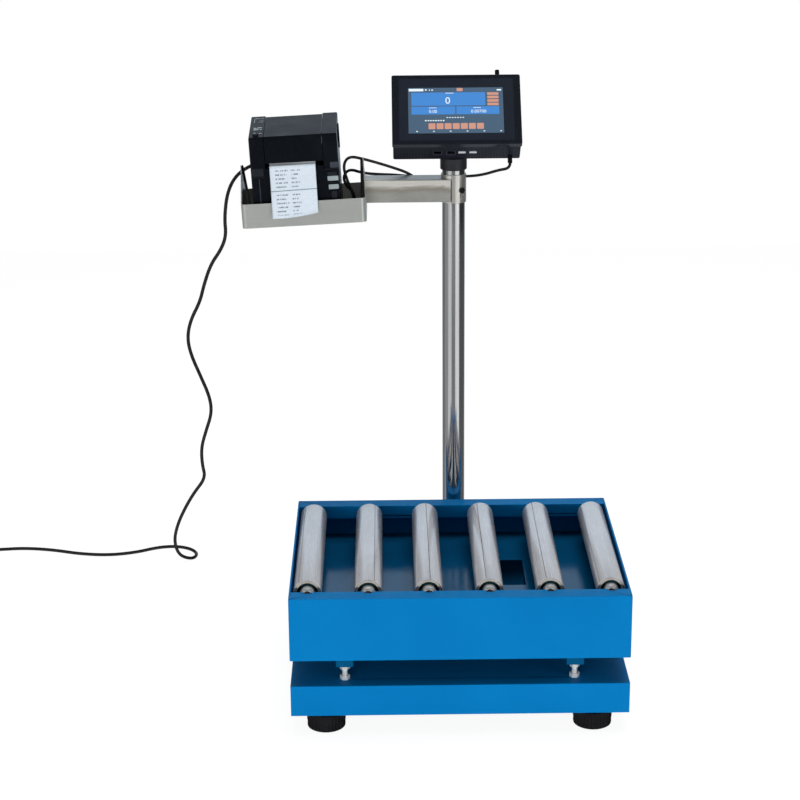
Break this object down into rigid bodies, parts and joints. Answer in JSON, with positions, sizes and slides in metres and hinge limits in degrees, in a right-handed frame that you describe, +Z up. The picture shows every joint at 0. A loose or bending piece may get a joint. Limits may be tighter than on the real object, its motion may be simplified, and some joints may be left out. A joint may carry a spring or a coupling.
{
  "type": "roller scale",
  "caption": "floor-standing roller scale with a blue coated platform, free-running rollers, a steel column, a touch indicator and a label printer on a side tray",
  "frame": {"origin": "on the floor under the middle of the base", "axes": "X to the right seen from the front, Y to the back where the column stands, Z up"},
  "size_m": [1.231, 0.744, 0.9062],
  "materials": {
    "coated_blue": "semi-gloss light blue coating",
    "steel": "zinc-plated steel",
    "aluminium": "machined",
    "brushed_stainless": "fine vertical brushing",
    "polished_stainless": "polished, faint draw lines",
    "black_plastic": "fine moulded grain",
    "gloss_black": "glossy",
    "slate_plastic": "dark slate, fine grain",
    "rubber": "soft black",
    "paper": "thermal label paper",
    "lead_sheath": "smooth sheath",
    "screen_glass": "glossy cover glass over a display"
  },
  "bodies": {
    "frame": {"base_pan": "coated_blue", "cross_member": "coated_blue", "foot_plates": "steel", "load_cell": "aluminium", "deck_frame": "coated_blue", "deck_plate": "coated_blue", "front_rail": "coated_blue", "rear_rail": "coated_blue", "left_panel": "coated_blue", "right_panel": "coated_blue", "hex_bolts": "steel", "hex_nuts": "steel", "roller_axles": "steel", "column_socket": "coated_blue", "column_tube": "polished_stainless", "cell_lead": "lead_sheath", "bracket_sleeve": "brushed_stainless", "bracket_arm": "brushed_stainless", "bracket_screws": "steel", "printer_tray": "brushed_stainless", "printer_base": "slate_plastic", "printer_cheeks": "slate_plastic", "printer_feet": "rubber", "label_strip": "paper", "lead_plug": "black_plastic", "power_lead": "lead_sheath", "lead_coil": "lead_sheath", "mains_plug": "black_plastic", "data_lead": "lead_sheath", "network_lead": "lead_sheath", "lead_adapter": "black_plastic"},
    "roller_1": {"roller_tube_1": "polished_stainless", "roller_caps_1": "black_plastic"},
    "roller_2": {"roller_tube_2": "polished_stainless", "roller_caps_2": "black_plastic"},
    "roller_3": {"roller_tube_3": "polished_stainless", "roller_caps_3": "black_plastic"},
    "roller_4": {"roller_tube_4": "polished_stainless", "roller_caps_4": "black_plastic"},
    "roller_5": {"roller_tube_5": "polished_stainless", "roller_caps_5": "black_plastic"},
    "roller_6": {"roller_tube_6": "polished_stainless", "roller_caps_6": "black_plastic"},
    "foot_1": {"foot_1": "black_plastic"},
    "foot_2": {"foot_2": "black_plastic"},
    "foot_3": {"foot_3": "black_plastic"},
    "foot_4": {"foot_4": "black_plastic"},
    "indicator": {"indicator_case": "slate_plastic", "indicator_bezel": "gloss_black", "touch_screen": "screen_glass", "swivel_collar": "brushed_stainless", "aerial": "black_plastic", "data_plug": "black_plastic", "indicator_lead": "lead_sheath"},
    "cover": {"printer_cover": "slate_plastic", "print_head": "aluminium"},
    "platen": {"platen_roller": "rubber"},
    "reel": {"label_roll": "paper"},
    "button": {"feed_button": "black_plastic"},
    "latch": {"cover_latch": "slate_plastic"}
  },
  "joints": [
    {"name": "roller_1_spin", "type": "hinge", "parent": "frame", "child": "roller_1", "pos_m": [-0.2235, 0, 0.209], "axis": [0, 1, 0], "continuous": true},
    {"name": "roller_2_spin", "type": "hinge", "parent": "frame", "child": "roller_2", "pos_m": [-0.1341, 0, 0.209], "axis": [0, 1, 0], "continuous": true},
    {"name": "roller_3_spin", "type": "hinge", "parent": "frame", "child": "roller_3", "pos_m": [-0.0447, 0, 0.209], "axis": [0, 1, 0], "continuous": true},
    {"name": "roller_4_spin", "type": "hinge", "parent": "frame", "child": "roller_4", "pos_m": [0.0447, 0, 0.209], "axis": [0, 1, 0], "continuous": true},
    {"name": "roller_5_spin", "type": "hinge", "parent": "frame", "child": "roller_5", "pos_m": [0.1341, 0, 0.209], "axis": [0, 1, 0], "continuous": true},
    {"name": "roller_6_spin", "type": "hinge", "parent": "frame", "child": "roller_6", "pos_m": [0.2235, 0, 0.209], "axis": [0, 1, 0], "continuous": true},
    {"name": "foot_1_height", "type": "slide", "parent": "frame", "child": "foot_1", "axis": [0, 0, 1], "range_m": [-0.012, 0.0008]},
    {"name": "foot_2_height", "type": "slide", "parent": "frame", "child": "foot_2", "axis": [0, 0, 1], "range_m": [-0.012, 0.0008]},
    {"name": "foot_3_height", "type": "slide", "parent": "frame", "child": "foot_3", "axis": [0, 0, 1], "range_m": [-0.012, 0.0008]},
    {"name": "foot_4_height", "type": "slide", "parent": "frame", "child": "foot_4", "axis": [0, 0, 1], "range_m": [-0.012, 0.0008]},
    {"name": "indicator_swivel", "type": "hinge", "parent": "frame", "child": "indicator", "pos_m": [0.0045, 0.229, 0.77], "axis": [0, 0, 1], "range_deg": [-45, 45]},
    {"name": "cover_hinge", "type": "hinge", "parent": "frame", "child": "cover", "pos_m": [-0.24403, 0.273, 0.81267], "axis": [-0.9988, 0, -0.0489], "range_deg": [0, 85]},
    {"name": "platen_spin", "type": "hinge", "parent": "frame", "child": "platen", "pos_m": [-0.24507, 0.191, 0.77257], "axis": [0.9988, 0, 0.0489], "continuous": true},
    {"name": "reel_spin", "type": "hinge", "parent": "frame", "child": "reel", "pos_m": [-0.24321, 0.237, 0.73462], "axis": [0.9988, 0, 0.0489], "continuous": true},
    {"name": "button_press", "type": "slide", "parent": "frame", "child": "button", "axis": [-0.0489, 0, 0.9988], "range_m": [-0.0012, 0], "stiffness_N_per_m": 400},
    {"name": "latch_slide", "type": "slide", "parent": "frame", "child": "latch", "axis": [0, -1, 0], "range_m": [0, 0.004], "stiffness_N_per_m": 150}
  ],
  "couplings": [
    {"joint": "platen_spin", "follows": "reel_spin", "ratio": 4.5}
  ]
}
